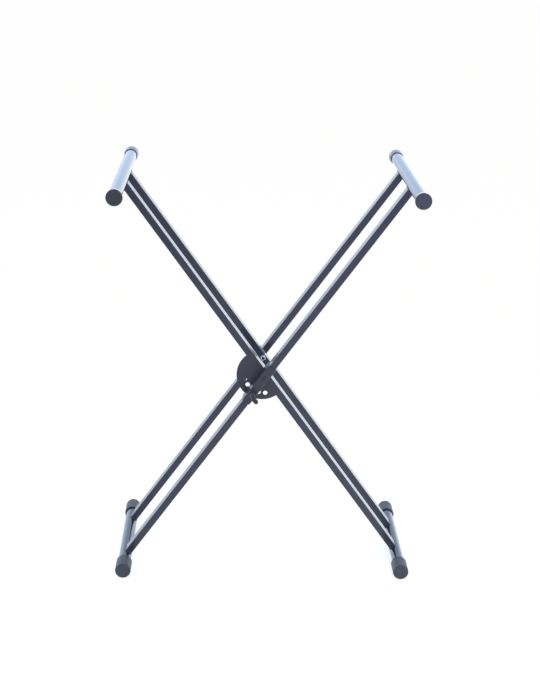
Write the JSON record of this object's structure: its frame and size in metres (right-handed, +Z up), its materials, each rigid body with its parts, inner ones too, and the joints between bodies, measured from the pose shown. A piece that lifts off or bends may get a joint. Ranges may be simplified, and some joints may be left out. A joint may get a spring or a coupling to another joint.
{
  "type": "xylophone stand",
  "caption": "Folding X stand of crossed double-leg tube frames with round support tubes, ribbed rubber feet and a sprung locking hub.",
  "frame": {"origin": "on the floor, midway between the feet and between front and rear", "axes": "+Z up, +X to the right as seen from the front, where the lock is, +Y from front to rear along the support tubes"},
  "size_m": [0.6482, 0.54, 0.8756],
  "materials": {
    "leg_paint": "semi-gloss black powder coat",
    "tube_paint": "gloss black powder coat",
    "plate_paint": "satin black powder coat",
    "channel_paint": "satin black powder coat",
    "black_bolt": "black oxide steel",
    "zinc": "bright zinc plate",
    "plain_steel": "drawn steel",
    "spring_steel": "spring wire",
    "nylon": "black nylon",
    "foot_rubber": "matt moulded rubber with grip grooves",
    "cap_rubber": "matt moulded rubber",
    "grip_vinyl": "dipped vinyl"
  },
  "bodies": {
    "outer_frame": {"outer_front_leg": "leg_paint", "outer_rear_leg": "leg_paint", "outer_foot_tube": "tube_paint", "outer_support_tube": "tube_paint", "outer_front_foot_cap": "foot_rubber", "outer_rear_foot_cap": "foot_rubber", "outer_front_support_cap": "cap_rubber", "outer_rear_support_cap": "cap_rubber", "hub_channel": "channel_paint", "front_pivot_bolt": "black_bolt", "front_pivot_nut": "zinc", "front_thrust_washer": "nylon", "front_leg_sleeve": "plain_steel", "rear_pivot_bolt": "black_bolt", "rear_pivot_nut": "zinc", "rear_thrust_spacer": "nylon", "rear_leg_sleeve": "plain_steel", "lock_spring": "spring_steel"},
    "inner_frame": {"inner_front_leg": "leg_paint", "inner_rear_leg": "leg_paint", "inner_foot_tube": "tube_paint", "inner_support_tube": "tube_paint", "inner_front_foot_cap": "foot_rubber", "inner_rear_foot_cap": "foot_rubber", "inner_front_support_cap": "cap_rubber", "inner_rear_support_cap": "cap_rubber", "lock_plate": "plate_paint", "inner_front_bush": "plain_steel", "inner_rear_bush": "plain_steel"},
    "lock_plunger": {"lock_pin": "plain_steel", "lock_pin_grip": "grip_vinyl"}
  },
  "joints": [
    {"name": "fold", "type": "hinge", "parent": "outer_frame", "child": "inner_frame", "pos_m": [0, 0, 0.43607], "axis": [0, 1, 0], "range_deg": [-44, 68]},
    {"name": "lock_pull", "type": "slide", "parent": "outer_frame", "child": "lock_plunger", "axis": [0, -1, 0], "range_m": [0, 0.004], "stiffness_N_per_m": 600, "springref_m": -0.01, "deforming": ["lock_spring"]}
  ]
}
